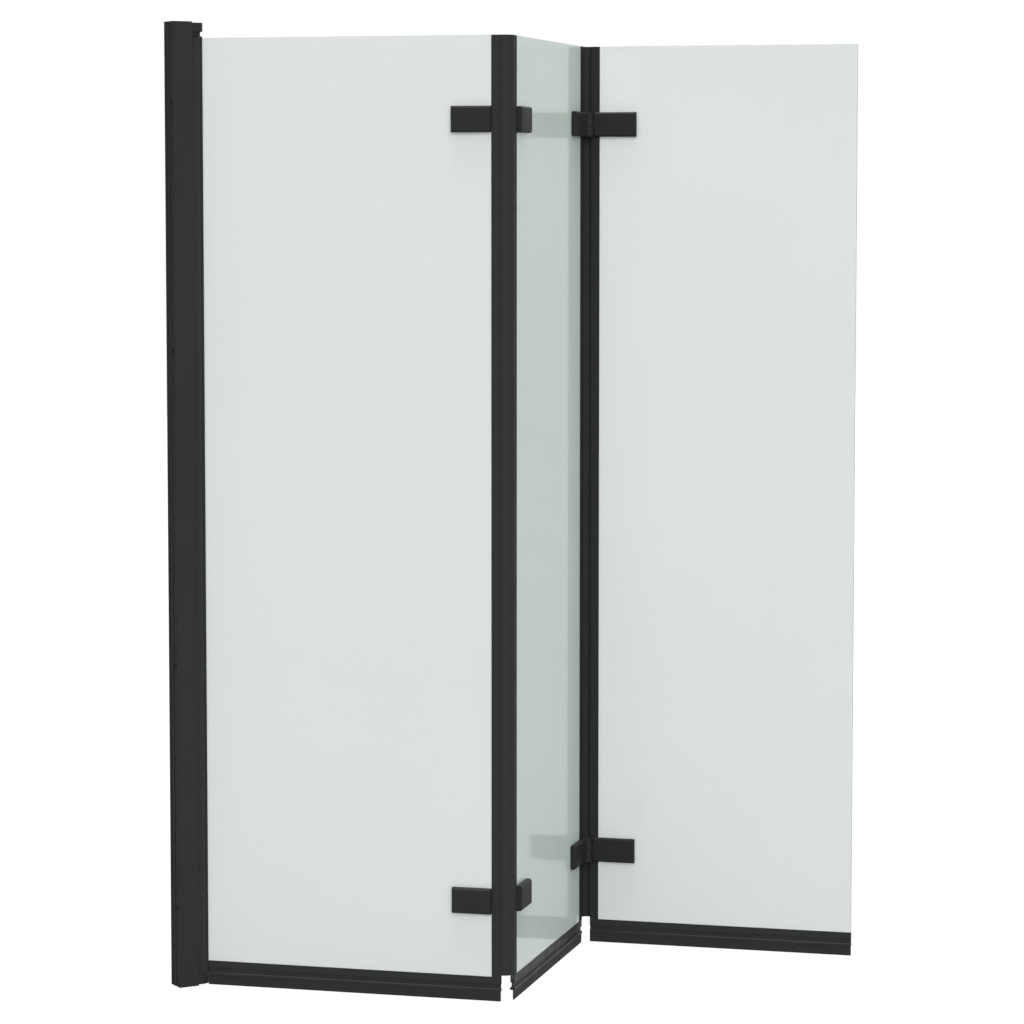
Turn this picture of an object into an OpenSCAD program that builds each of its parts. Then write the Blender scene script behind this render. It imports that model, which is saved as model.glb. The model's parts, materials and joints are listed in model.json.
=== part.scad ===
// Folding bath screen: three frosted glass panels that hang from a wall profile.
// The first panel pivots on the wall, and two pairs of hinges let the other two fold against it.
// Origin: bottom centre of the wall profile's back face. +X leaves the wall, +Y runs along it, +Z is up.
// Along a panel, s is the distance outward from its inner pivot and t the distance to its left side.
// At a fold, u is the distance from the hinge pin into a panel and v the distance towards the pin.

/* [Screen] */
// Height of the wall profile and of the whole screen
screen_h = 1380; // [1000:5:1600]
// Direction of the first panel, from straight out of the wall
panel_1_turn = -45; // [-80:5:80]
// Angle between the first and the second panel, away from flat
fold_1_turn = 90; // [60:5:120]
// Angle between the second and the third panel, away from flat
fold_2_turn = 90; // [60:5:120]

/* [Glass] */
// Thickness of the glass
glass_t = 4; // [3:0.5:6]
// Distance from the glass's bottom edge to the foot of the screen
glass_foot = 27; // [24:1:34]
// Distance from the glass's top edge to the top of the wall profile
glass_drop = 23; // [22:1:40]
// Length of the first panel's bottom rail
rail_1_w = 436.5; // [300:5:600]
// Length of the second panel's bottom rail
rail_2_w = 402; // [250:5:550]
// Length of the third panel's bottom rail
rail_3_w = 402; // [250:5:550]

/* [Wall profile] */
// Width of the wall channel along the wall
channel_w = 29.7; // [29:0.5:36]
// Depth of the wall channel out of the wall
channel_d = 29.7; // [28:0.1:30]
// Wall thickness of the channel's sides
channel_side_t = 1.6; // [1.2:0.1:2]
// Thickness of the channel's back
channel_back_t = 2.2; // [1.8:0.1:3]
// Radius of the wall screw holes
wall_hole_r = 3.5; // [2:0.25:3.75]
// Distance from the middle of the channel's back to the line of these holes
wall_hole_y = 8; // [7.8:0.1:9]
// Distance between the outer two wall screw holes
wall_holes_outer = 1150; // [700:10:1250]
// Distance between the inner two wall screw holes
wall_holes_inner = 450; // [200:10:600]
// Depth of the two grooves down the channel's back
back_groove_d = 1.2; // [0.4:0.1:1.4]
// Width of these grooves
back_groove_w = 3; // [1.5:0.1:3]
// Distance from the middle of the channel's back to the groove on the side without holes
far_groove_y = 8; // [5.6:0.1:9]
// Distance from the middle of the channel's back to the groove beside the holes
near_groove_y = 2.2; // [1.8:0.1:2.4]
// Wall thickness of the profile that slides inside the channel
slider_t = 2; // [1.5:0.1:2.2]
// Depth of the sliding profile
slider_d = 20; // [16:0.5:22]
// Number of screws that lock the sliding profile
lock_screws = 3; // [2:1:5]
// Thickness of the end caps
cap_t = 1.5; // [1:0.1:2]

/* [Wall pivot] */
// Distance from the wall to the pivot axis
pivot_x = 37; // [37:0.1:39]
// Radius of the round nose that carries each pivot
nose_r = 14.3; // [13:0.1:14.5]
// Height of the nose
nose_h = 12.5; // [10:0.5:14]
// Radius of the seat ring between nose and glass holder
seat_r = 11; // [9:0.5:12]
// Height of the seat ring at the top
seat_h = 6; // [4:0.5:8]
// Height of the seat ring at the foot, where the glass holder runs down to the nose
foot_seat_h = 1; // [0.5:0.5:4]
// Radius of the pivot pins
pivot_pin_r = 3; // [2.5:0.25:3.25]
// Depth of each pivot pin in the glass holder
pivot_pin_grip = 23; // [15:1:40]
// Wall thickness of the pivot bushes
bush_t = 1.4; // [1.2:0.1:1.6]

/* [Glass holder] */
// Distance from the pivot axis to the outer edge of the holder's gasket
holder_reach = 15.5; // [15:0.5:20]
// Distance from the pivot axis to the edge of the holder's metal
holder_metal_reach = 12.5; // [12:0.1:13]
// Radius of the holder's round back
holder_r = 6.5; // [6.2:0.1:7]
// Half thickness of the holder over the glass
holder_half_t = 5.6; // [5.2:0.1:6]
// Distance from the pivot axis to the bottom of the holder's slot
holder_slot = 8.3; // [8:0.1:8.8]
// Thickness of the holder's walls beside the slot
holder_wall = 1.8; // [1.2:0.1:2]
// Distance from the pivot axis to the groove down each side
holder_groove_reach = 7.4; // [7:0.1:8]
// Width of the groove down each side
holder_groove_w = 0.9; // [0.6:0.1:1.2]
// Depth of the groove down each side
holder_groove_d = 0.6; // [0.3:0.1:0.9]
// Thickness of the gasket's lip over each face of the glass
lip_t = 2.6; // [2:0.1:3]
// Thickness of the rubber under the glass's inner edge
seat_cushion = 1.2; // [0.8:0.1:1.5]

/* [Bottom rail] */
// Height of the rail's top edge above the foot of the screen
rail_top = 35; // [33:0.5:40]
// Thickness of the rail's cheeks beside the glass
rail_cheek = 1; // [0.8:0.1:1.5]
// Thickness of the rail's floor under the glass
rail_floor = 2.3; // [1.5:0.1:3]
// Half thickness of the rail's neck
neck_half = 1.2; // [0.9:0.1:1.5]
// Height of the drip ridge's top
ridge_top = 18.5; // [17:0.5:20]
// Height of the drip ridge's underside, where the wiper starts
ridge_foot = 14; // [12:0.5:14.5]
// Half thickness of the drip ridge
ridge_half = 3.6; // [3.2:0.1:4.5]
// Thickness of the wiper's blade
blade_t = 1.8; // [1.2:0.1:2.4]

/* [Hinges] */
// Distance from the glass's top and bottom edges to the centre of each hinge
hinge_inset = 116; // [80:5:250]
// Height of a hinge
hinge_h = 36.5; // [32:0.5:44]
// Distance from the hinge axis to the far end of its plates
hinge_reach = 72; // [64:1:90]
// Distance from the middle of the glass to the hinge axis
hinge_offset = 11; // [10.8:0.1:13]
// Radius of the knuckles
knuckle_r = 7.5; // [6:0.1:7.5]
// Radius of the hinge pins
hinge_pin_r = 3; // [2:0.25:3.5]
// Height of the middle knuckle
mid_knuckle_h = 12; // [8:0.5:14]
// Thickness of a washer between two knuckles
washer_t = 0.4; // [0.3:0.05:0.8]
// Chamfer round the edges of the plates
plate_chamfer = 2.5; // [1:0.25:3]
// Thickness of the rubber pads on the glass
pad_t = 1.2; // [0.8:0.1:1.5]
// Thickness of the backing plate under a cover
backing_t = 3; // [2:0.1:3.2]
// Wall thickness of the covers
cover_wall = 1.6; // [1:0.1:1.8]
// Radius of the clamp screws
clamp_r = 2.5; // [2:0.25:3]
// Radius of the holes in the glass
glass_hole_r = 5; // [4.5:0.25:6]
// Distance from the hinge axis to the first clamp screw
clamp_near = 30; // [28:1:34]
// Distance between the two clamp screws of a plate
clamp_spacing = 27; // [20:1:28]

/* [Fold seals] */
// Half of the gap between two bottom rails when the screen is flat
rail_gap = 2; // [2:0.25:3]
// Height of the soft web's lower end above the foot of the screen
web_foot = 37.5; // [35.5:0.5:41]
// Distance from the hinge axis to the far edge of a seal's clip
clip_reach = 15; // [13:0.5:15.5]
// Wall thickness of a seal's clip
clip_t = 1.2; // [0.8:0.1:1.2]
// Thickness of the soft web between two clips
web_t = 1.3; // [0.8:0.1:2]

/* [Hidden] */
// Gap of a shaft in its bore, of a sliding profile and of a loose neighbour
running_gap = 0.05;
slide_gap = 0.15;
loose_gap = 0.2;
// A cut runs this far past the face that it opens
through = 1;
// Two solids of one piece run this far into each other
weld = 0.01;
round_fn = 96;

half_glass = glass_t / 2;
glass_top = screen_h - glass_drop;
glass_h = glass_top - glass_foot;

// Panels in plan: directions, inner pivots and the lengths between hinge axes
turn_1 = panel_1_turn;
turn_2 = turn_1 + fold_1_turn;
turn_3 = turn_2 - fold_2_turn;
panel_1_end = holder_reach + rail_1_w + rail_gap;
panel_2_end = rail_gap + rail_2_w + rail_gap;
panel_3_end = rail_gap + rail_3_w;
function along(a) = [cos(a), sin(a)];
function leftward(a) = [-sin(a), cos(a)];
wall_pivot = [pivot_x, 0];
fold_1 = wall_pivot + panel_1_end * along(turn_1) + hinge_offset * leftward(turn_1);
panel_2_start = fold_1 - hinge_offset * leftward(turn_2);
fold_2 = panel_2_start + panel_2_end * along(turn_2) - hinge_offset * leftward(turn_2);
panel_3_start = fold_2 + hinge_offset * leftward(turn_3);

// Wall profile
channel_inner = channel_w / 2 - channel_side_t;
slider_half = channel_inner - slide_gap;
slider_recess = 0.3;
slider_front = channel_d - slider_recess;
slider_back = slider_front - slider_d;
slider_inner = slider_half - slider_t;
nose_top = cap_t + nose_h;
holder_gap = 0.3;
holder_foot = nose_top + foot_seat_h + holder_gap;
holder_top = screen_h - nose_top - seat_h - holder_gap;
pin_floor = 2;
tenon_h = 24;
tenon_setback = 2;
cap_edge_depth = 0.3;
cap_rim = 0.5;
bush_flange_t = 0.8;
bush_proud = 0.1;
bush_recess_wall = 1.1;
bush_flange_r = holder_r - bush_recess_wall;
bush_r = pivot_pin_r + bush_t;
bush_bore_r = pivot_pin_r + running_gap;
lock_screw_r = 2;
lock_slot_l = 8;
lock_head_r = 4.6;
lock_head_t = 1.5;
lock_tip = 2;
lock_x = (slider_back + slider_front) / 2;

// Glass holder
holder_pocket_half = holder_half_t - holder_wall;
glass_seat = holder_slot + seat_cushion;
lip_half = half_glass + lip_t;

// Bottom rail
rail_half = half_glass + rail_cheek;
rail_foot = glass_foot - rail_floor;
blade_middle = -1.6;
root_neck_half = 0.5;
root_head_half = 1.3;
root_neck_h = 1.3;
root_head_h = 1.3;
root_neck_top = ridge_foot + root_neck_h;
root_head_top = root_neck_top + root_head_h;
root_gap = 0.1;
ridge_bevel = 1.3;
blade_tip_half = 0.5;
blade_taper_h = 3;

// Hinges
hinge_levels = [glass_foot + hinge_inset, glass_top - hinge_inset];
BOTTOM = 0;
TOP = 1;
plate_below_axis = 0.3;
plate_out = hinge_offset - plate_below_axis;
plate_in = half_glass + pad_t;
knuckle_clear = 0.8;
plate_start = knuckle_r + knuckle_clear;
plate_near = clip_reach + loose_gap;
cover_out = hinge_offset;
knuckle_bore_r = hinge_pin_r + running_gap;
washer_play = 0.1;
knuckle_gap = washer_t + washer_play;
washer_inset = 0.5;
pin_recess = 0.5;
leaf_overlap = 1;
leaf_neck_inset = 0.2;
backing_out = plate_in + backing_t;
cover_gap = 0.6;
clamp_head_rim = 2;
clamp_head_r = clamp_r + clamp_head_rim;
clamp_head_t = cover_out - cover_wall - backing_out - loose_gap;
tip_wall = 2;
tip_play = 0.5;
clamp_tip = plate_out - tip_wall;
clamp_us = [clamp_near, clamp_near + clamp_spacing];
socket_r = 1.8;

// Fold seals
glass_recess = 1;
glass_setback = rail_gap + glass_recess;
clip_start = rail_gap - loose_gap;
clip_foot = rail_top + loose_gap;
clip_half = half_glass + clip_t;
web_r = hinge_offset + clip_half;
web_steps = 24;

black = "#343536";
rubber = "#2b2c2d";
steel = "#8d9092";
frost = "#dbdfdd";

// ---- Places ----

// Puts s, t, z of panel 1, 2 or 3 into the part's frame
module on_panel(number) {
    start = [wall_pivot, panel_2_start, panel_3_start][number - 1];
    turn = [turn_1, turn_2, turn_3][number - 1];
    translate([start.x, start.y, 0])
        rotate(turn)
            children();
}

// Puts u, v, z of a fold into the part's frame, on the panel before the fold (near) or after it (far)
module at_fold(fold, near) {
    if (fold == 1 && near)
        on_panel(1)
            translate([panel_1_end, 0, 0])
                mirror([1, 0, 0])
                    children();
    if (fold == 1 && !near)
        on_panel(2)
            children();
    if (fold == 2 && near)
        on_panel(2)
            translate([panel_2_end, 0, 0])
                rotate(180)
                    children();
    if (fold == 2 && !near)
        on_panel(3)
            mirror([0, 1, 0])
                children();
}

// Turns a piece of the wall profile's foot over, to the profile's top
module at_top() {
    translate([0, 0, screen_h])
        mirror([0, 0, 1])
            children();
}

// ---- Wall profile ----

module channel_section() {
    difference() {
        translate([0, -channel_w / 2])
            square([channel_d, channel_w]);
        translate([channel_back_t, -channel_inner])
            square([channel_d, 2 * channel_inner]);
        for (groove_y = [far_groove_y, -near_groove_y])
            translate([-through, groove_y - back_groove_w / 2])
                square([through + back_groove_d, back_groove_w]);
    }
}

module lock_slot_outline() {
    square([lock_slot_l, 2 * lock_screw_r + 2 * loose_gap], center = true);
    for (end = [-1, 1])
        translate([end * lock_slot_l / 2, 0])
            circle(r = lock_screw_r + loose_gap, $fn = round_fn);
}

function lock_z(i) = screen_h * (i + 0.5) / lock_screws;

module wall_channel() {
    color(black)
        difference() {
            linear_extrude(screen_h)
                channel_section();
            for (spacing = [wall_holes_outer, wall_holes_inner], side = [-0.5, 0.5])
                translate([-through, -wall_hole_y, screen_h / 2 + side * spacing])
                    rotate([0, 90, 0])
                        cylinder(r = wall_hole_r, h = channel_back_t + 2 * through, $fn = round_fn);
            for (i = [0 : lock_screws - 1])
                translate([lock_x, channel_inner - through, lock_z(i)])
                    rotate([-90, 0, 0])
                        linear_extrude(channel_side_t + 2 * through)
                            lock_slot_outline();
        }
}

module pivot_profile() {
    color(black)
        difference() {
            translate([slider_back, -slider_half, nose_top + loose_gap])
                cube([slider_d, 2 * slider_half, screen_h - 2 * (nose_top + loose_gap)]);
            translate([slider_back - through, -slider_inner, 0])
                cube([slider_d + through - slider_t, 2 * slider_inner, screen_h]);
            for (i = [0 : lock_screws - 1])
                translate([lock_x, slider_inner - through, lock_z(i)])
                    rotate([-90, 0, 0])
                        cylinder(r = lock_screw_r + running_gap, h = slider_t + 2 * through, $fn = round_fn);
        }
}

module adjusting_screws() {
    shank = channel_side_t + slider_t + lock_tip;
    color(steel)
        for (i = [0 : lock_screws - 1])
            translate([lock_x, channel_w / 2, lock_z(i)])
                rotate([-90, 0, 0])
                    difference() {
                        union() {
                            cylinder(r = lock_head_r, h = lock_head_t, $fn = round_fn);
                            translate([0, 0, -shank])
                                cylinder(r = lock_screw_r, h = shank, $fn = round_fn);
                        }
                        translate([0, 0, lock_head_t / 2])
                            cylinder(r = socket_r, h = lock_head_t, $fn = 6);
                    }
}

// A cap closes the channel's end, and its plug fills the gap behind the pivot block
module end_cap() {
    plug_d = slider_back - loose_gap - channel_back_t - loose_gap;
    difference() {
        translate([channel_back_t + running_gap, -slider_half, 0])
            cube([channel_d - channel_back_t - running_gap, 2 * slider_half, cap_t]);
        translate([0, 0, -through])
            linear_extrude(through + cap_edge_depth)
                difference() {
                    translate([0, -channel_w])
                        square([2 * channel_d, 2 * channel_w]);
                    translate([channel_back_t + cap_rim, -slider_half + cap_rim])
                        square([channel_d - channel_back_t - 2 * cap_rim, 2 * (slider_half - cap_rim)]);
                }
    }
    translate([channel_back_t + loose_gap, -slider_inner, cap_t])
        cube([plug_d, 2 * slider_inner, nose_h]);
}

module bottom_cap() {
    color(black)
        end_cap();
}

module top_cap() {
    color(black)
        at_top()
            end_cap();
}

// ---- Wall pivot ----

// A block carries the nose, and a seat ring of height seat on it
module pivot_block(seat) {
    inside_front = slider_front - slider_t - loose_gap;
    tenon_half = slider_inner - loose_gap;
    nose_back = channel_d + loose_gap;
    difference() {
        union() {
            translate([slider_back, -slider_half, cap_t])
                cube([nose_back - slider_back + weld, 2 * slider_half, nose_h]);
            translate([slider_back + tenon_setback, -tenon_half, cap_t])
                cube([inside_front - slider_back - tenon_setback, 2 * tenon_half, nose_h + tenon_h]);
            translate([nose_back, -nose_r, cap_t])
                cube([pivot_x - nose_back, 2 * nose_r, nose_h]);
            translate([pivot_x, 0, cap_t])
                cylinder(r = nose_r, h = nose_h, $fn = round_fn);
            intersection() {
                translate([pivot_x, 0, cap_t])
                    cylinder(r = seat_r, h = nose_h + seat, $fn = round_fn);
                translate([nose_back, -nose_r, cap_t])
                    cube([2 * nose_r + pivot_x - nose_back, 2 * nose_r, nose_h + seat]);
            }
        }
        translate([pivot_x, 0, cap_t + pin_floor])
            cylinder(r = pivot_pin_r + running_gap, h = nose_h + seat, $fn = round_fn);
    }
}

module pivot_pin(seat) {
    pin_foot = cap_t + pin_floor + loose_gap;
    pin_top = nose_top + seat + holder_gap + pivot_pin_grip;
    translate([pivot_x, 0, pin_foot])
        cylinder(r = pivot_pin_r, h = pin_top - pin_foot, $fn = round_fn);
}

// The bush sits in the holder's bore, and its flange stands a little proud and runs on the seat ring
module pivot_bush(seat) {
    translate([pivot_x, 0, nose_top + seat + holder_gap - bush_proud])
        difference() {
            union() {
                cylinder(r = bush_flange_r, h = bush_proud + bush_flange_t, $fn = round_fn);
                cylinder(r = bush_r, h = bush_proud + pivot_pin_grip, $fn = round_fn);
            }
            translate([0, 0, -through])
                cylinder(r = bush_bore_r, h = bush_proud + pivot_pin_grip + 2 * through, $fn = round_fn);
        }
}

module bottom_pivot_block() {
    color(black)
        pivot_block(foot_seat_h);
}

module top_pivot_block() {
    color(black)
        at_top()
            pivot_block(seat_h);
}

module bottom_pivot_pin() {
    color(steel)
        pivot_pin(foot_seat_h);
}

module top_pivot_pin() {
    color(steel)
        at_top()
            pivot_pin(seat_h);
}

module pivot_bushes() {
    color(rubber) {
        pivot_bush(foot_seat_h);
        at_top()
            pivot_bush(seat_h);
    }
}

// ---- Glass holder on the first panel ----

module holder_section() {
    difference() {
        union() {
            circle(r = holder_r, $fn = round_fn);
            translate([0, -holder_half_t])
                square([holder_metal_reach, 2 * holder_half_t]);
        }
        circle(r = bush_r + running_gap, $fn = round_fn);
        translate([holder_slot, -holder_pocket_half])
            square([holder_metal_reach, 2 * holder_pocket_half]);
        for (side = [-1, 1])
            translate([holder_groove_reach, side * holder_half_t])
                square([holder_groove_w, 2 * holder_groove_d], center = true);
    }
}

// Takes the flange of a bush, in the end of the holder that faces down
module bush_recess() {
    translate([pivot_x, 0, -through])
        cylinder(r = bush_flange_r + running_gap, h = through + bush_flange_t, $fn = round_fn);
}

module glass_holder() {
    color(black)
        difference() {
            on_panel(1)
                translate([0, 0, holder_foot])
                    linear_extrude(holder_top - holder_foot)
                        holder_section();
            translate([0, 0, holder_foot])
                bush_recess();
            translate([0, 0, holder_top])
                mirror([0, 0, 1])
                    bush_recess();
        }
}

module gasket_section() {
    difference() {
        union() {
            translate([holder_slot, -holder_pocket_half])
                square([holder_reach - holder_slot, 2 * holder_pocket_half]);
            translate([holder_metal_reach, -lip_half])
                square([holder_reach - holder_metal_reach, 2 * lip_half]);
        }
        translate([glass_seat, -half_glass])
            square([holder_reach, glass_t]);
    }
}

module holder_gasket() {
    color(rubber)
        on_panel(1)
            translate([0, 0, holder_foot])
                linear_extrude(glass_top - holder_foot)
                    gasket_section();
}

// ---- Glass ----

module clamp_places(levels = [BOTTOM, TOP]) {
    for (level = levels, u = clamp_us)
        translate([u, 0, hinge_levels[level]])
            rotate([90, 0, 0])
                children();
}

module glass_holes() {
    clamp_places()
        cylinder(r = glass_hole_r, h = glass_t + 2 * through, center = true, $fn = round_fn);
}

module pane(from, to) {
    translate([from, -half_glass, glass_foot])
        cube([to - from, glass_t, glass_h]);
}

module glass_1() {
    color(frost)
        difference() {
            on_panel(1)
                pane(glass_seat, panel_1_end - glass_setback);
            at_fold(1, true)
                glass_holes();
        }
}

module glass_2() {
    color(frost)
        difference() {
            on_panel(2)
                pane(glass_setback, panel_2_end - glass_setback);
            at_fold(1, false)
                glass_holes();
            at_fold(2, true)
                glass_holes();
        }
}

module glass_3() {
    color(frost)
        difference() {
            on_panel(3)
                pane(glass_setback, panel_3_end);
            at_fold(2, false)
                glass_holes();
        }
}

// ---- Bottom rails and wipers ----

// Section of the rail: cheeks on the glass, a neck, and the drip ridge that holds the wiper's root
module rail_section() {
    difference() {
        union() {
            translate([-rail_half, rail_foot])
                square([2 * rail_half, rail_top - rail_foot]);
            translate([-neck_half, ridge_top - through])
                square([2 * neck_half, rail_foot - ridge_top + 2 * through]);
            polygon([
                [-ridge_half, ridge_foot],
                [ridge_half, ridge_foot],
                [ridge_half, ridge_top - ridge_bevel],
                [ridge_half - ridge_bevel, ridge_top],
                [ridge_bevel - ridge_half, ridge_top],
                [-ridge_half, ridge_top - ridge_bevel]
            ]);
        }
        translate([-half_glass, glass_foot])
            square([glass_t, rail_top]);
        translate([blade_middle - root_neck_half - root_gap, ridge_foot - through])
            square([2 * (root_neck_half + root_gap), through + root_neck_top - ridge_foot + root_gap]);
        translate([blade_middle - root_head_half - root_gap, root_neck_top - root_gap])
            square([2 * (root_head_half + root_gap), root_head_top - root_neck_top + 2 * root_gap]);
    }
}

module wiper_section() {
    polygon([
        [blade_middle - blade_tip_half, 0],
        [blade_middle + blade_tip_half, 0],
        [blade_middle + blade_t / 2, blade_taper_h],
        [blade_middle + blade_t / 2, ridge_foot],
        [blade_middle + root_neck_half, ridge_foot],
        [blade_middle + root_neck_half, root_neck_top],
        [blade_middle + root_head_half, root_neck_top],
        [blade_middle + root_head_half, root_head_top],
        [blade_middle - root_head_half, root_head_top],
        [blade_middle - root_head_half, root_neck_top],
        [blade_middle - root_neck_half, root_neck_top],
        [blade_middle - root_neck_half, ridge_foot],
        [blade_middle - blade_t / 2, ridge_foot],
        [blade_middle - blade_t / 2, blade_taper_h]
    ]);
}

// Runs a section of t and z along a panel
module run_along(from, length) {
    translate([from, 0, 0])
        rotate([90, 0, 90])
            linear_extrude(length)
                children();
}

module bottom_rail_1() {
    color(black)
        on_panel(1)
            run_along(holder_reach, rail_1_w)
                rail_section();
}

module bottom_rail_2() {
    color(black)
        on_panel(2)
            run_along(rail_gap, rail_2_w)
                rail_section();
}

module bottom_rail_3() {
    color(black)
        on_panel(3)
            run_along(rail_gap, rail_3_w)
                rail_section();
}

module wiper_1() {
    color(rubber)
        on_panel(1)
            run_along(holder_reach, rail_1_w)
                wiper_section();
}

module wiper_2() {
    color(rubber)
        on_panel(2)
            run_along(rail_gap, rail_2_w)
                wiper_section();
}

module wiper_3() {
    color(rubber)
        on_panel(3)
            run_along(rail_gap, rail_3_w)
                wiper_section();
}

// ---- Fold seals ----

module seal_clip() {
    color(rubber)
        difference() {
            translate([clip_start, -clip_half, clip_foot])
                cube([clip_reach - clip_start, 2 * clip_half, glass_top - clip_foot]);
            translate([glass_setback, -half_glass, 0])
                cube([clip_reach, glass_t, screen_h]);
        }
}

module seal_clip_1_outer() {
    at_fold(1, true)
        seal_clip();
}

module seal_clip_2_inner() {
    at_fold(1, false)
        seal_clip();
}

module seal_clip_2_outer() {
    at_fold(2, true)
        seal_clip();
}

module seal_clip_3_inner() {
    at_fold(2, false)
        seal_clip();
}

// The web bends round the hinge axis on the outside of the fold, and a tail joins it to each clip
function web_arc(axis, r, from, to) =
    [for (i = [0 : web_steps]) axis + r * along(from + (to - from) * i / web_steps)];
function reversed(list) = [for (i = [len(list) - 1 : -1 : 0]) list[i]];

module seal_web(axis, near_turn, far_turn, side) {
    outer = web_arc(axis, web_r, near_turn + side * 90, far_turn + side * 90);
    inner = web_arc(axis, web_r - web_t, near_turn + side * 90, far_turn + side * 90);
    near_tail = -clip_start * along(near_turn);
    far_tail = clip_start * along(far_turn);
    color(rubber)
        translate([0, 0, web_foot])
            linear_extrude(glass_top - web_foot)
                polygon(concat(
                    [inner[0] + near_tail, outer[0] + near_tail],
                    outer,
                    [outer[web_steps] + far_tail, inner[web_steps] + far_tail],
                    reversed(inner)
                ));
}

module fold_1_seal_web() {
    seal_web(fold_1, turn_1, turn_2, -1);
}

module fold_2_seal_web() {
    seal_web(fold_2, turn_2, turn_3, 1);
}

// ---- Hinges ----

// A plate with chamfers round its outer face, but none at its near end
module chamfered_plate(from, to, face_in, face_out) {
    c = plate_chamfer;
    h = hinge_h / 2;
    intersection() {
        translate([0, 0, -h])
            linear_extrude(hinge_h)
                polygon([
                    [from, face_in],
                    [to, face_in],
                    [to, face_out - c],
                    [to - c, face_out],
                    [from, face_out]
                ]);
        translate([from, 0, 0])
            rotate([90, 0, 90])
                linear_extrude(to - from)
                    polygon([
                        [face_in, -h],
                        [face_in, h],
                        [face_out - c, h],
                        [face_out, h - c],
                        [face_out, c - h],
                        [face_out - c, -h]
                    ]);
    }
}

// The knuckles of a leaf, as z ranges: two outer ones on the near leaf, one between them on the far leaf
function knuckles(near) = near
    ? [[-hinge_h / 2, -mid_knuckle_h / 2 - knuckle_gap], [mid_knuckle_h / 2 + knuckle_gap, hinge_h / 2]]
    : [[-mid_knuckle_h / 2, mid_knuckle_h / 2]];

module hinge_leaf(near) {
    neck_in = hinge_offset - knuckle_r + leaf_neck_inset;
    difference() {
        union() {
            chamfered_plate(plate_start, hinge_reach, plate_in, plate_out);
            for (k = knuckles(near)) {
                translate([0, hinge_offset, k[0]])
                    cylinder(r = knuckle_r, h = k[1] - k[0], $fn = round_fn);
                translate([0, neck_in, k[0]])
                    cube([plate_start + leaf_overlap, plate_out - plate_chamfer - neck_in, k[1] - k[0]]);
                intersection() {
                    translate([0, plate_in + leaf_overlap, k[0]])
                        cube([plate_start + leaf_overlap, plate_out - plate_in - leaf_overlap, k[1] - k[0]]);
                    chamfered_plate(-through, hinge_reach, plate_in, plate_out);
                }
            }
        }
        translate([0, hinge_offset, -hinge_h])
            cylinder(r = knuckle_bore_r, h = 2 * hinge_h, $fn = round_fn);
        for (u = clamp_us)
            translate([u, clamp_tip + tip_play, 0])
                rotate([90, 0, 0])
                    cylinder(r = clamp_r + running_gap, h = plate_out, $fn = round_fn);
    }
}

// The cover hides the backing plate and the screw heads on the outside of the fold
module hinge_cover() {
    difference() {
        mirror([0, 1, 0])
            chamfered_plate(plate_near, hinge_reach, half_glass + loose_gap, cover_out);
        translate([plate_near + cover_wall, -cover_out + cover_wall, -hinge_h / 2 + cover_wall])
            cube([
                hinge_reach - plate_near - 2 * cover_wall,
                cover_out - cover_wall,
                hinge_h - 2 * cover_wall
            ]);
    }
}

backing_from = plate_near + cover_wall + cover_gap;
backing_to = hinge_reach - cover_wall - cover_gap;
backing_half_h = hinge_h / 2 - cover_wall - cover_gap;

module backing_plate() {
    difference() {
        translate([backing_from, -backing_out, -backing_half_h])
            cube([backing_to - backing_from, backing_t, 2 * backing_half_h]);
        for (u = clamp_us)
            translate([u, 0, 0])
                rotate([90, 0, 0])
                    cylinder(r = clamp_r + running_gap, h = cover_out, $fn = round_fn);
    }
}

// Rubber pads on both faces of the glass, with a sleeve round each screw in the glass's holes
module pad_pair() {
    difference() {
        union() {
            translate([backing_from, -plate_in, -backing_half_h])
                cube([backing_to - backing_from, pad_t, 2 * backing_half_h]);
            for (u = clamp_us)
                translate([u, half_glass, 0])
                    rotate([90, 0, 0])
                        cylinder(r = glass_hole_r - loose_gap, h = glass_t + pad_t / 2, $fn = round_fn);
        }
        for (u = clamp_us)
            translate([u, cover_out, 0])
                rotate([90, 0, 0])
                    cylinder(r = clamp_r + loose_gap, h = 2 * cover_out, $fn = round_fn);
    }
    difference() {
        translate([backing_from, half_glass, -backing_half_h])
            cube([backing_to - backing_from, pad_t, 2 * backing_half_h]);
        for (u = clamp_us)
            translate([u, cover_out, 0])
                rotate([90, 0, 0])
                    cylinder(r = clamp_r + loose_gap, h = cover_out, $fn = round_fn);
    }
}

module clamp_screw() {
    difference() {
        union() {
            translate([0, 0, backing_out])
                cylinder(r = clamp_head_r, h = clamp_head_t, $fn = round_fn);
            translate([0, 0, -clamp_tip])
                cylinder(r = clamp_r, h = clamp_tip + backing_out + weld, $fn = round_fn);
        }
        translate([0, 0, backing_out + clamp_head_t / 3])
            cylinder(r = socket_r, h = clamp_head_t, $fn = 6);
    }
}

module hinge_pin() {
    translate([0, hinge_offset, pin_recess - hinge_h / 2])
        cylinder(r = hinge_pin_r, h = hinge_h - 2 * pin_recess, $fn = round_fn);
}

module washer_pair() {
    for (side = [-1, 1])
        translate([0, hinge_offset, side * (mid_knuckle_h + knuckle_gap) / 2 - washer_t / 2])
            difference() {
                cylinder(r = knuckle_r - washer_inset, h = washer_t, $fn = round_fn);
                translate([0, 0, -through])
                    cylinder(r = hinge_pin_r + running_gap, h = washer_t + 2 * through, $fn = round_fn);
            }
}

// Places a hinge piece at one level of one fold
module hinge_place(fold, level, near) {
    at_fold(fold, near)
        translate([0, 0, hinge_levels[level]])
            children();
}

module placed_leaf(fold, level, near) {
    color(black)
        hinge_place(fold, level, near)
            hinge_leaf(near);
}

module placed_cover(fold, level, near) {
    color(black)
        hinge_place(fold, level, near)
            hinge_cover();
}

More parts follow.
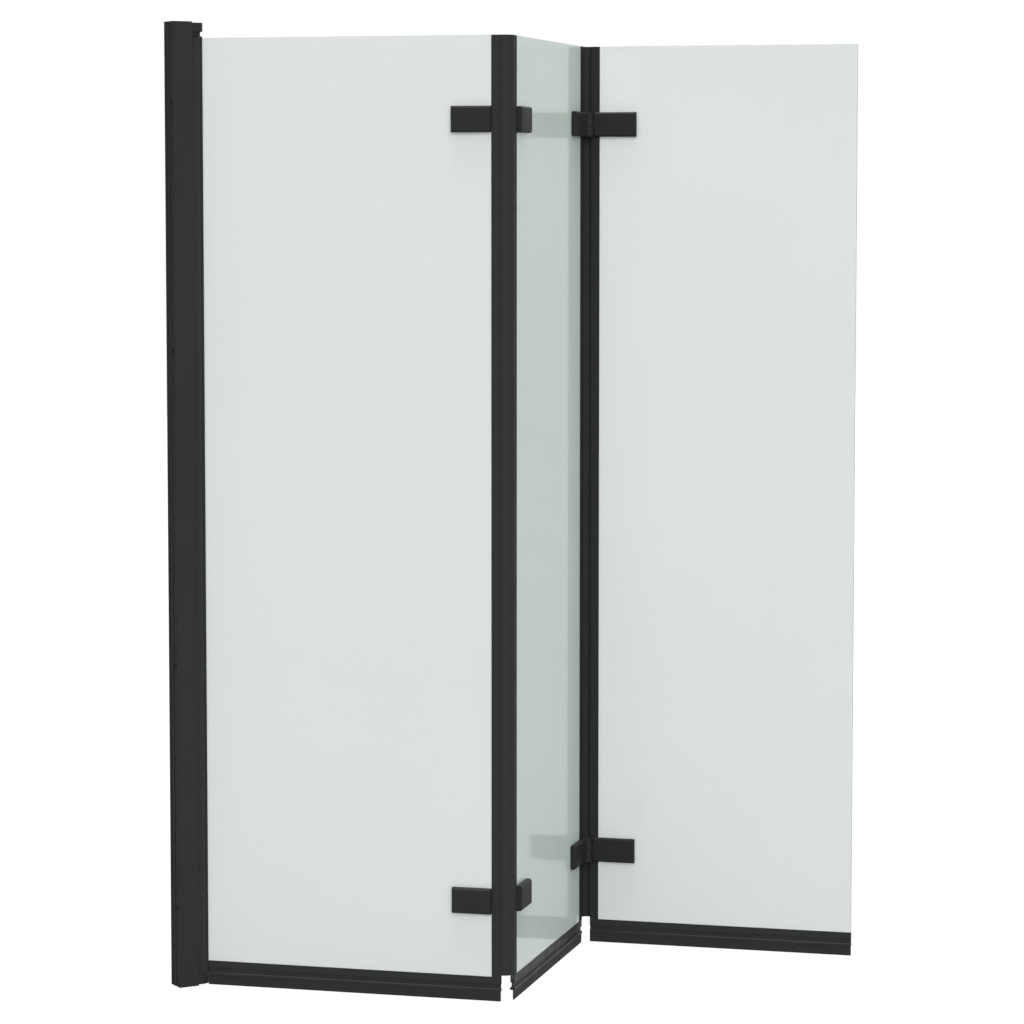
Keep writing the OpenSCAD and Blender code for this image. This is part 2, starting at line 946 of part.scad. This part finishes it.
module placed_backings(fold, near) {
    color(steel)
        for (level = [BOTTOM, TOP])
            hinge_place(fold, level, near)
                backing_plate();
}

module placed_pads(fold, near) {
    color(rubber)
        for (level = [BOTTOM, TOP])
            hinge_place(fold, level, near)
                pad_pair();
}

module placed_screws(fold, near) {
    color(steel)
        at_fold(fold, near)
            clamp_places()
                clamp_screw();
}

module placed_pin(fold, level) {
    color(steel)
        hinge_place(fold, level, true)
            hinge_pin();
}

module placed_washers(fold) {
    color(steel)
        for (level = [BOTTOM, TOP])
            hinge_place(fold, level, true)
                washer_pair();
}

module fold_1_top_leaf_near() placed_leaf(1, TOP, true);
module fold_1_top_leaf_far() placed_leaf(1, TOP, false);
module fold_1_bottom_leaf_near() placed_leaf(1, BOTTOM, true);
module fold_1_bottom_leaf_far() placed_leaf(1, BOTTOM, false);
module fold_2_top_leaf_near() placed_leaf(2, TOP, true);
module fold_2_top_leaf_far() placed_leaf(2, TOP, false);
module fold_2_bottom_leaf_near() placed_leaf(2, BOTTOM, true);
module fold_2_bottom_leaf_far() placed_leaf(2, BOTTOM, false);

module fold_1_top_cover_near() placed_cover(1, TOP, true);
module fold_1_top_cover_far() placed_cover(1, TOP, false);
module fold_1_bottom_cover_near() placed_cover(1, BOTTOM, true);
module fold_1_bottom_cover_far() placed_cover(1, BOTTOM, false);
module fold_2_top_cover_near() placed_cover(2, TOP, true);
module fold_2_top_cover_far() placed_cover(2, TOP, false);
module fold_2_bottom_cover_near() placed_cover(2, BOTTOM, true);
module fold_2_bottom_cover_far() placed_cover(2, BOTTOM, false);

module fold_1_backings_near() placed_backings(1, true);
module fold_1_backings_far() placed_backings(1, false);
module fold_2_backings_near() placed_backings(2, true);
module fold_2_backings_far() placed_backings(2, false);

module glass_pads_1() placed_pads(1, true);
module glass_pads_2() {
    placed_pads(1, false);
    placed_pads(2, true);
}
module glass_pads_3() placed_pads(2, false);

module clamp_screws_1() placed_screws(1, true);
module clamp_screws_2() {
    placed_screws(1, false);
    placed_screws(2, true);
}
module clamp_screws_3() placed_screws(2, false);

module fold_1_top_pin() placed_pin(1, TOP);
module fold_1_bottom_pin() placed_pin(1, BOTTOM);
module fold_2_top_pin() placed_pin(2, TOP);
module fold_2_bottom_pin() placed_pin(2, BOTTOM);
module fold_1_washers() placed_washers(1);
module fold_2_washers() placed_washers(2);

wall_channel();
pivot_profile();
adjusting_screws();
top_cap();
bottom_cap();
top_pivot_block();
bottom_pivot_block();
top_pivot_pin();
bottom_pivot_pin();
glass_holder();
holder_gasket();
pivot_bushes();
glass_1();
glass_2();
glass_3();
bottom_rail_1();
bottom_rail_2();
bottom_rail_3();
wiper_1();
wiper_2();
wiper_3();
seal_clip_1_outer();
seal_clip_2_inner();
seal_clip_2_outer();
seal_clip_3_inner();
fold_1_seal_web();
fold_2_seal_web();
fold_1_top_leaf_near();
fold_1_top_leaf_far();
fold_1_bottom_leaf_near();
fold_1_bottom_leaf_far();
fold_2_top_leaf_near();
fold_2_top_leaf_far();
fold_2_bottom_leaf_near();
fold_2_bottom_leaf_far();
fold_1_top_cover_near();
fold_1_top_cover_far();
fold_1_bottom_cover_near();
fold_1_bottom_cover_far();
fold_2_top_cover_near();
fold_2_top_cover_far();
fold_2_bottom_cover_near();
fold_2_bottom_cover_far();
fold_1_backings_near();
fold_1_backings_far();
fold_2_backings_near();
fold_2_backings_far();
glass_pads_1();
glass_pads_2();
glass_pads_3();
clamp_screws_1();
clamp_screws_2();
clamp_screws_3();
fold_1_top_pin();
fold_1_bottom_pin();
fold_2_top_pin();
fold_2_bottom_pin();
fold_1_washers();
fold_2_washers();
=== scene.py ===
import json
import math

import bmesh
import bpy
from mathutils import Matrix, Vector

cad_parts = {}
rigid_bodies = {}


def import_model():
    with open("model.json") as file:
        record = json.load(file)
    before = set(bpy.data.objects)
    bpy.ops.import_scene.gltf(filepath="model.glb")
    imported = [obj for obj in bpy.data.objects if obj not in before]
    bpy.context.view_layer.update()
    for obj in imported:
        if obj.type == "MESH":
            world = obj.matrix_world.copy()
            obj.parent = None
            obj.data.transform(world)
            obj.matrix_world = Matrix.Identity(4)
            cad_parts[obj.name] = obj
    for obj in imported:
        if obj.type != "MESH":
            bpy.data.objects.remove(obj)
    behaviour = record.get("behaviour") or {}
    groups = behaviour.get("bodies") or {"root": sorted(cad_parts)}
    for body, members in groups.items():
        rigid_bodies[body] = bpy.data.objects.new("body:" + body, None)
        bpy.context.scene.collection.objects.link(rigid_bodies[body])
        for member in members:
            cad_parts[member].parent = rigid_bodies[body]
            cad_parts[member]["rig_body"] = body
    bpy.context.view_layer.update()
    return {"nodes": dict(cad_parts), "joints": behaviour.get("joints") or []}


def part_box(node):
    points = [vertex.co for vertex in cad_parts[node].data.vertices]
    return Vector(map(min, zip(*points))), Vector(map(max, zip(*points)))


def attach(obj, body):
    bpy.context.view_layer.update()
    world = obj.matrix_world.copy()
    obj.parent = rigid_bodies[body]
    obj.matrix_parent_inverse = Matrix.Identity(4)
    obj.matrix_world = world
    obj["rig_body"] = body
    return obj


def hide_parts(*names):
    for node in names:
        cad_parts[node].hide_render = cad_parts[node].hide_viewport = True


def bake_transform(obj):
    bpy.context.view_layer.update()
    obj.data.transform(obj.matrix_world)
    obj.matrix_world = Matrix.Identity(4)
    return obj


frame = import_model()

# ---- Standpoint ----
# A long lens a little below the top of the screen, pitched down slightly.
# The wall profile stands on the left and the three panels zigzag away from it.

pitched_down = 4.62
turned_right = 30.15
camera = bpy.data.objects.new("camera", bpy.data.cameras.new("camera"))
bpy.context.scene.collection.objects.link(camera)
camera.data.sensor_width = 36
camera.data.lens = 124.816
camera.data.shift_y = -0.03
camera.location = (-2.1125, -4.6012, 1.1368)
camera.rotation_euler = (math.radians(90 - pitched_down), 0, math.radians(-turned_right))
bpy.context.scene.camera = camera
bpy.context.scene.view_settings.view_transform = "Standard"
bpy.context.scene.cycles.caustics_reflective = False
bpy.context.scene.cycles.caustics_refractive = False

# ---- Wall channel ----
# The aluminium channel that is screwed to the wall: extruded, then powder-coated satin black.
# Four screw holes and two shallow grooves run down its back, and its long edges are eased by the die.


class Finish:
    """A material with one shader, whose patterns read Object coordinates."""

    def __init__(self, name, colour, roughness):
        self.material = bpy.data.materials.new(name)
        self.material.use_nodes = True
        self.nodes = self.material.node_tree.nodes
        self.links = self.material.node_tree.links
        self.shader = self.nodes["Principled BSDF"]
        self.shader.inputs["Base Color"].default_value = (*colour, 1)
        self.shader.inputs["Roughness"].default_value = roughness
        self.place = self.nodes.new("ShaderNodeTexCoord").outputs["Object"]

    def grain(self, scale, stretch=(1, 1, 1), turn=0, detail=2, rough=0.5):
        """Noise with scale grains to the metre, drawn out by stretch after a turn about Z."""
        mapping = self.nodes.new("ShaderNodeMapping")
        mapping.vector_type = "TEXTURE"
        mapping.inputs["Rotation"].default_value = (0, 0, math.radians(turn))
        mapping.inputs["Scale"].default_value = stretch
        self.links.new(self.place, mapping.inputs["Vector"])
        noise = self.nodes.new("ShaderNodeTexNoise")
        noise.inputs["Scale"].default_value = scale
        noise.inputs["Detail"].default_value = detail
        noise.inputs["Roughness"].default_value = rough
        self.links.new(mapping.outputs["Vector"], noise.inputs["Vector"])
        return noise.outputs["Fac"]

    def die_lines(self, turn, scale, length):
        """Fine lines along an extrusion that stands upright, or lies turned about Z."""
        if turn == "upright":
            return self.grain(scale, stretch=(1, 1, length), detail=1)
        return self.grain(scale, stretch=(length, 1, 1), turn=turn, detail=1)

    def colours(self, pattern, stops):
        """Base colour from a pattern: stops are pairs of a place from 0 to 1 and a colour."""
        ramp = self.nodes.new("ShaderNodeValToRGB")
        ramp.color_ramp.elements[0].position = stops[0][0]
        ramp.color_ramp.elements[0].color = (*stops[0][1], 1)
        ramp.color_ramp.elements[1].position = stops[-1][0]
        ramp.color_ramp.elements[1].color = (*stops[-1][1], 1)
        for place, colour in stops[1:-1]:
            ramp.color_ramp.elements.new(place).color = (*colour, 1)
        self.links.new(pattern, ramp.inputs["Fac"])
        self.links.new(ramp.outputs["Color"], self.shader.inputs["Base Color"])

    def sheen_change(self, pattern, low, high, spread=0.2):
        """Roughness from low to high, where a pattern is within spread of its middle."""
        span = self.nodes.new("ShaderNodeMapRange")
        span.inputs["From Min"].default_value = 0.5 - spread
        span.inputs["From Max"].default_value = 0.5 + spread
        span.inputs["To Min"].default_value = low
        span.inputs["To Max"].default_value = high
        self.links.new(pattern, span.inputs["Value"])
        self.links.new(span.outputs["Result"], self.shader.inputs["Roughness"])

    def relief(self, *layers):
        """Bump from pairs of a pattern and its height in metres."""
        below = None
        for pattern, height in layers:
            bump = self.nodes.new("ShaderNodeBump")
            bump.inputs["Strength"].default_value = 1
            bump.inputs["Distance"].default_value = height
            self.links.new(pattern, bump.inputs["Height"])
            if below:
                self.links.new(below, bump.inputs["Normal"])
            below = bump.outputs["Normal"]
        self.links.new(below, self.shader.inputs["Normal"])


coat_black = Vector((0.022, 0.0227, 0.0231))
pore_depth = 0.00003
line_depth = 0.00002


def powder_coat(name, turn=None, shade=1, gloss=0.08):
    """Satin black powder coat. On an extrusion, faint die lines follow its length. Shade scales the
    black, and some parts get lighter or darker copies of it as painted light and shade.
    """
    black = coat_black * shade
    finish = Finish(name, black, 0.45)
    finish.shader.inputs["Specular IOR Level"].default_value = gloss
    clouds = finish.grain(9, detail=3)
    finish.colours(clouds, [(0.35, black * 0.95), (0.65, black * 1.05)])
    pores = finish.grain(1300, detail=3, rough=0.6)
    finish.sheen_change(finish.grain(60, detail=4), 0.4, 0.5)
    layers = [(pores, pore_depth)]
    if turn is not None:
        layers.append((finish.die_lines(turn, 420, 400), line_depth))
    finish.relief(*layers)
    return finish.material


def eased_copy(node, edge, finishes, pick=None, rides=True):
    """A copy of a CAD piece with its sharp edges rounded to a radius, which stands for it."""
    same_point = 0.000004
    same_face = math.radians(0.3)
    sharp_corner = math.radians(28)
    shape = bmesh.new()
    shape.from_mesh(frame["nodes"][node].data)
    bmesh.ops.remove_doubles(shape, verts=shape.verts, dist=same_point)
    bmesh.ops.dissolve_limit(shape, angle_limit=same_face, verts=shape.verts, edges=shape.edges)
    sharp = [e for e in shape.edges if e.is_manifold and e.calc_face_angle() > sharp_corner]
    if edge:
        bmesh.ops.bevel(
            shape, geom=sharp, offset=edge, offset_type="OFFSET", segments=2, profile=0.5,
            affect="EDGES", clamp_overlap=True, material=-1,
        )
    for face in shape.faces:
        face.smooth = True
        face.material_index = pick(face) if pick else 0
    mesh = bpy.data.meshes.new(f"eased_{node}")
    shape.to_mesh(mesh)
    shape.free()
    # the normals that the CAD piece carries don't fit the rounded copy
    if "custom_normal" in mesh.attributes:
        mesh.attributes.remove(mesh.attributes["custom_normal"])
    for finish in finishes:
        mesh.materials.append(finish)
    piece = bpy.data.objects.new(f"eased_{node}", mesh)
    bpy.context.scene.collection.objects.link(piece)
    shading = piece.modifiers.new("flat faces", "WEIGHTED_NORMAL")
    shading.keep_sharp = True
    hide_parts(node)
    if rides:
        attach(piece, frame["nodes"][node]["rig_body"])
    return piece


die_radius = 0.0003
towards_wall = -0.9
upright_coat = powder_coat("upright_coat", "upright", shade=1.15, gloss=0.03)
# Painted shade: the back, which faces the wall, takes a darker copy of the same coat.
shaded_back_coat = powder_coat("shaded_back_coat", "upright", shade=0.85, gloss=0.02)
eased_copy(
    "wall_channel", die_radius, [upright_coat, shaded_back_coat],
    pick=lambda face: 1 if face.normal.x < towards_wall else 0,
)

# ---- Sliding profile and its locking screws ----
# A second aluminium channel slides in the first, to take up a wall that isn't plumb.
# Stainless button-head screws in short slots lock it from the side that the bath hides.

eased_copy("pivot_profile", die_radius, [upright_coat])


def plain_steel():
    """Turned stainless steel, with fine marks round it."""
    finish = Finish("plain_steel", (0.34, 0.345, 0.35), 0.35)
    finish.shader.inputs["Metallic"].default_value = 1
    finish.sheen_change(finish.grain(200, detail=4), 0.24, 0.4)
    finish.relief((finish.grain(2500, detail=2), 0.00002))
    return finish.material


screw_radius = 0.0003
steel = plain_steel()
eased_copy("adjusting_screws", screw_radius, [steel])

# ---- End caps ----
# Moulded plastic caps close the two ends of the channel. Each has a plug that fills the gap
# behind the pivot block, and pushes in.


def moulded_black():
    """Matt black plastic with a fine moulded grain."""
    finish = Finish("moulded_black", coat_black, 0.5)
    finish.shader.inputs["Specular IOR Level"].default_value = 0.12
    finish.sheen_change(finish.grain(90, detail=4), 0.45, 0.56)
    finish.relief((finish.grain(1700, detail=3, rough=0.65), 0.00004))
    return finish.material


cap_radius = 0.0003
cap_plastic = moulded_black()
for end in ("top_cap", "bottom_cap"):
    eased_copy(end, cap_radius, [cap_plastic])

# ---- Pivot blocks, pins and bushes ----
# A die-cast block in each end of the profile carries a round nose with a seat ring on it.
# A steel pin stands in each, and turns in a nylon bush in the glass holder.

nose_radius = 0.0005
cast_coat = powder_coat("cast_coat", gloss=0.05)
for block in ("top_pivot_block", "bottom_pivot_block"):
    eased_copy(block, nose_radius, [cast_coat])


def dark_nylon():
    """Dark nylon, slightly waxy."""
    finish = Finish("dark_nylon", (0.03, 0.03, 0.031), 0.45)
    finish.sheen_change(finish.grain(150, detail=3), 0.4, 0.5)
    finish.relief((finish.grain(900), 0.00002))
    return finish.material


def give(finish, *nodes):
    """A CAD piece whose shape is right keeps it, and takes a finish."""
    for node in nodes:
        for slot in frame["nodes"][node].material_slots:
            slot.material = finish


nylon = dark_nylon()
give(steel, "top_pivot_pin", "bottom_pivot_pin")
give(nylon, "pivot_bushes")

# ---- Glass holder and gasket ----
# The upright extrusion that turns on the pivots and holds the first pane, coated like the channel but
# painted lighter, to lift the shade that the channel casts on it.
# A rubber gasket wedges the glass in it, and its lip shows as a second step beside the metal.

# Painted light: a lighter copy of the black coat, against the channel's shade on the holder.
lit_holder_coat = powder_coat("lit_holder_coat", "upright", shade=1.6, gloss=0.03)
eased_copy("glass_holder", die_radius, [lit_holder_coat])

rubber_black = Vector((0.0245, 0.0252, 0.0257))
skin_depth = 0.00002


def soft_rubber(name, turn, shade=1):
    """Black extruded rubber with fine lines along its length. Shade scales the black, for a darker
    copy that paints shade.
    """
    finish = Finish(name, rubber_black * shade, 0.6)
    finish.shader.inputs["Specular IOR Level"].default_value = 0.05
    finish.sheen_change(finish.grain(70, detail=3), 0.55, 0.66)
    lines = finish.die_lines(turn, 700, 300)
    finish.relief((finish.grain(2000), skin_depth), (lines, skin_depth))
    return finish.material


lip_radius = 0.0004
upright_rubber = soft_rubber("upright_rubber", "upright")
eased_copy("holder_gasket", lip_radius, [upright_rubber])

# ---- Panes ----
# Three panes of 4 mm toughened glass, satin all over, with ground and polished edges.
# The body is milky, so light comes through it but no shape does.

glass_ior = 1.5


def satin_glass(name, body):
    """Milky body under a glossy skin, with a barely cloudy tone."""
    finish = Finish(name, body, 0.55)
    clouds = finish.grain(3, detail=3)
    finish.colours(clouds, [(0.3, body * 0.99), (0.7, body * 1.01)])
    finish.shader.inputs["Transmission Weight"].default_value = 0.2
    finish.shader.inputs["IOR"].default_value = glass_ior
    finish.shader.inputs["Coat Weight"].default_value = 0.6
    finish.shader.inputs["Coat Roughness"].default_value = 0.06
    finish.shader.inputs["Coat IOR"].default_value = glass_ior
    finish.relief((finish.grain(1800, detail=2), 0.000004))
    return finish.material


# Below the rail top the glass edge is painted black: painted shade of the gap where the rail ends.
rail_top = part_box("bottom_rail_1")[1][2]
shade_fade = 0.0004
painted_shade_black = (0.012, 0.012, 0.012)
edge_green = (0.25, 0.32, 0.29)


def cut_edge():
    """The polished edge of the pane, greener than its faces, and painted black below the rail top, as
    shade in the gap at the rail's end.
    """
    finish = Finish("cut_edge", edge_green, 0.12)
    height = finish.nodes.new("ShaderNodeSeparateXYZ")
    finish.links.new(finish.place, height.inputs[0])
    rise = finish.nodes.new("ShaderNodeMapRange")
    rise.inputs["From Min"].default_value = rail_top - shade_fade
    rise.inputs["From Max"].default_value = rail_top
    finish.links.new(height.outputs["Z"], rise.inputs["Value"])
    finish.colours(rise.outputs["Result"], [(0, painted_shade_black), (1, edge_green)])
    finish.shader.inputs["IOR"].default_value = glass_ior
    finish.relief((finish.grain(600), 0.00001))
    return finish.material


milk = Vector((0.686, 0.719, 0.713))
# Painted tint: the second pane is the same glass, but its milk is greener, for the greener look it has
# at a slant in the shade between the others.
painted_green_milk = Vector((0.645, 0.732, 0.68))
panes = {
    1: satin_glass("satin_glass_1", milk),
    2: satin_glass("satin_glass_2", painted_green_milk),
    3: satin_glass("satin_glass_3", milk),
}
polished = cut_edge()
arris = 0.0005
face_on = 0.95
panel_turns = {1: -45, 2: 45, 3: -45}


def across(number):
    """The level direction that goes square through a pane."""
    turn = math.radians(panel_turns[number])
    return Vector((-math.sin(turn), math.cos(turn), 0))


for number, glass in panes.items():
    eased_copy(
        f"glass_{number}", arris, [glass, polished],
        pick=lambda face, through=across(number): 0 if abs(face.normal.dot(through)) > face_on else 1,
    )

# ---- Bottom rails ----
# Each pane stands in an extruded rail: two cheeks on the glass, a neck, and a drip ridge below.
# They are sawn to length and coated, with the die lines along the panel.

for number, turn in panel_turns.items():
    rail_coat = powder_coat(f"rail_coat_{number}", turn)
    eased_copy(f"bottom_rail_{number}", die_radius, [rail_coat])

# ---- Wiper blades ----
# A rubber blade is pushed along the slot in each drip ridge, and its thin tip rests on the bath.
# It is extruded, so its fine lines follow the panel too.

blade_radius = 0.0002
for number, turn in panel_turns.items():
    blade_rubber = soft_rubber(f"blade_rubber_{number}", turn)
    eased_copy(f"wiper_{number}", blade_radius, [blade_rubber])

# ---- Seal clips ----
# A hard black clip is pushed on the glass edge at each side of a fold, from rail to glass top.
# In the photograph those of the second fold are a little darker than those of the first, as they sit
# in the shade inside that fold; their rubber is painted darker for it.

clip_radius = 0.0003
# Painted shade: the second fold's clips and web take a darker copy of the rubber.
fold_rubbers = {1: upright_rubber, 2: soft_rubber("shaded_fold_rubber", "upright", shade=0.84)}
for fold, rubber in fold_rubbers.items():
    for clip in (f"seal_clip_{fold}_outer", f"seal_clip_{fold + 1}_inner"):
        eased_copy(clip, clip_radius, [rubber])

# ---- Fold seals ----
# A soft rubber web joins the two clips of a fold and wraps round the hinge axis; this copy rides with
# no panel, so it does not bend as they turn.
# It is one extrusion with no seams, and the middle of its thickness is web_radius from the axis.
# The first fold's web bulges to the front and the second one's to the back.

web_radius = 0.0136
fold_axes = {joint["name"]: Vector(joint["pos_m"]) for joint in frame["joints"]}
for fold, outward in ((1, -1), (2, 1)):
    axis = fold_axes[f"fold_{fold}"]
    end = axis + outward * web_radius * across(fold + 1)
    web = eased_copy(f"fold_{fold}_seal_web", 0, [fold_rubbers[fold]], rides=False)
    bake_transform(web)

# ---- Hinges ----
# Zinc hinges, coated black: two leaves with knuckles on the inside of each fold, and a plain
# chamfered cover on the outside that hides the screws and the plate they pull on.

cast_radius = 0.0004
# Painted shade: the leaves, on the inside of each fold, take a darker copy of the covers' coat.
shaded_leaf_coat = powder_coat("shaded_leaf_coat", shade=0.82, gloss=0.05)
for fold in (1, 2):
    for level in ("top", "bottom"):
        for side in ("near", "far"):
            for part, coat in (("leaf", shaded_leaf_coat), ("cover", cast_coat)):
                name = f"fold_{fold}_{level}_{part}_{side}"
                eased_copy(name, cast_radius, [coat])
        give(steel, f"fold_{fold}_{level}_pin")
    give(nylon, f"fold_{fold}_washers")
    give(steel, f"fold_{fold}_backings_near", f"fold_{fold}_backings_far")

# ---- Clamp pads and screws ----
# Rubber pads on both sides of a pane keep the metal off the glass, with sleeves in its holes.
# Stainless screws pull leaf and backing together through them.

pad_radius = 0.0002
for number in panel_turns:
    eased_copy(f"glass_pads_{number}", pad_radius, [upright_rubber])
    give(steel, f"clamp_screws_{number}")

# ---- Floor ----
# A plain sheet of pale paper, just under the part. Light falls on it as on matt grey paper, but
# the camera, gloss and clear glass see it white, with a faint shadow near the screen.

floor_reach = 12
floor_drop = 0.0005
ground = bmesh.new()
bmesh.ops.create_grid(ground, x_segments=1, y_segments=1, size=floor_reach)
bmesh.ops.translate(ground, verts=ground.verts, vec=(0, 0, -floor_drop))
floor_mesh = bpy.data.meshes.new("floor")
ground.to_mesh(floor_mesh)
ground.free()
floor = bpy.data.objects.new("floor", floor_mesh)
bpy.context.scene.collection.objects.link(floor)


def seen_white(tree):
    """1 where the camera, a reflection or a ray through glass looks, 0 for the light itself."""
    rays = tree.nodes.new("ShaderNodeLightPath")
    value = rays.outputs["Is Camera Ray"]
    for kind in ("Is Glossy Ray", "Is Transmission Ray"):
        both = tree.nodes.new("ShaderNodeMath")
        both.operation = "MAXIMUM"
        tree.links.new(value, both.inputs[0])
        tree.links.new(rays.outputs[kind], both.inputs[1])
        value = both.outputs[0]
    return value


def white_paper(below_screen, near, far, near_share):
    """Paper whose white covers near_share of the matt within near of the screen, and all past far."""
    paper = bpy.data.materials.new("white_paper")
    paper.use_nodes = True
    sheet = paper.node_tree
    matt = sheet.nodes.new("ShaderNodeBsdfDiffuse")
    matt.inputs["Color"].default_value = (0.25, 0.25, 0.25, 1)
    bright = sheet.nodes.new("ShaderNodeEmission")
    bright.inputs["Color"].default_value = (1, 1, 1, 1)
    bright.inputs["Strength"].default_value = 1.12
    spot = sheet.nodes.new("ShaderNodeTexCoord")
    reach = sheet.nodes.new("ShaderNodeVectorMath")
    reach.operation = "DISTANCE"
    reach.inputs[1].default_value = below_screen
    sheet.links.new(spot.outputs["Object"], reach.inputs[0])
    fade = sheet.nodes.new("ShaderNodeMapRange")
    fade.interpolation_type = "SMOOTHSTEP"
    fade.inputs["From Min"].default_value = near
    fade.inputs["From Max"].default_value = far
    fade.inputs["To Min"].default_value = near_share
    fade.inputs["To Max"].default_value = 1
    sheet.links.new(reach.outputs["Value"], fade.inputs["Value"])
    share = sheet.nodes.new("ShaderNodeMath")
    share.operation = "MULTIPLY"
    sheet.links.new(fade.outputs["Result"], share.inputs[1])
    sheet.links.new(seen_white(sheet), share.inputs[0])
    mix = sheet.nodes.new("ShaderNodeMixShader")
    sheet.links.new(share.outputs[0], mix.inputs[0])
    sheet.links.new(matt.outputs[0], mix.inputs[1])
    sheet.links.new(bright.outputs[0], mix.inputs[2])
    sheet.links.new(mix.outputs[0], sheet.nodes["Material Output"].inputs["Surface"])
    return paper


floor_mesh.materials.append(white_paper((0.5, -0.2, 0), near=0.4, far=1.5, near_share=0.86))

# ---- Sky and lights ----
# A plain sky gives a little light from all round. The camera, gloss and clear glass see it white
# instead. Three soft lights from far off do the rest: from the front left, from behind, from above.

world = bpy.data.worlds.new("studio")
world.use_nodes = True
bpy.context.scene.world = world
sky = world.node_tree
outlook = sky.nodes.new("ShaderNodeTexCoord").outputs["Generated"]
height = sky.nodes.new("ShaderNodeSeparateXYZ")
sky.links.new(outlook, height.inputs[0])


def dome(low, high):
    """A white sky that brightens from low at the horizon to high overhead."""
    rise = sky.nodes.new("ShaderNodeMapRange")
    rise.interpolation_type = "SMOOTHSTEP"
    rise.inputs["From Min"].default_value = 0.3
    rise.inputs["From Max"].default_value = 0.95
    rise.inputs["To Min"].default_value = low
    rise.inputs["To Max"].default_value = high
    sky.links.new(height.outputs["Z"], rise.inputs["Value"])
    glow = sky.nodes.new("ShaderNodeBackground")
    glow.inputs["Color"].default_value = (1, 1, 1, 1)
    sky.links.new(rise.outputs["Result"], glow.inputs["Strength"])
    return glow.outputs[0]


lit_or_seen = sky.nodes.new("ShaderNodeMixShader")
sky.links.new(seen_white(sky), lit_or_seen.inputs[0])
sky.links.new(dome(0.15, 1.1), lit_or_seen.inputs[1])
sky.links.new(dome(1, 3.5), lit_or_seen.inputs[2])
sky.links.new(lit_or_seen.outputs[0], sky.nodes["World Output"].inputs["Surface"])


def far_light(name, towards, strength, spread):
    """A soft light so far off that it is the same all over the object."""
    lamp = bpy.data.lights.new(name, "SUN")
    lamp.energy = strength
    lamp.angle = math.radians(spread)
    light = bpy.data.objects.new(name, lamp)
    light.rotation_euler = Vector(towards).to_track_quat("Z", "Y").to_euler()
    bpy.context.scene.collection.objects.link(light)


far_light("front_light", (-0.35, -0.94, 0.35), strength=2.35, spread=45)
far_light("back_light", (0.4, 0.85, 0.4), strength=0.75, spread=35)
far_light("top_light", (0, 0, 1), strength=4.4, spread=24)
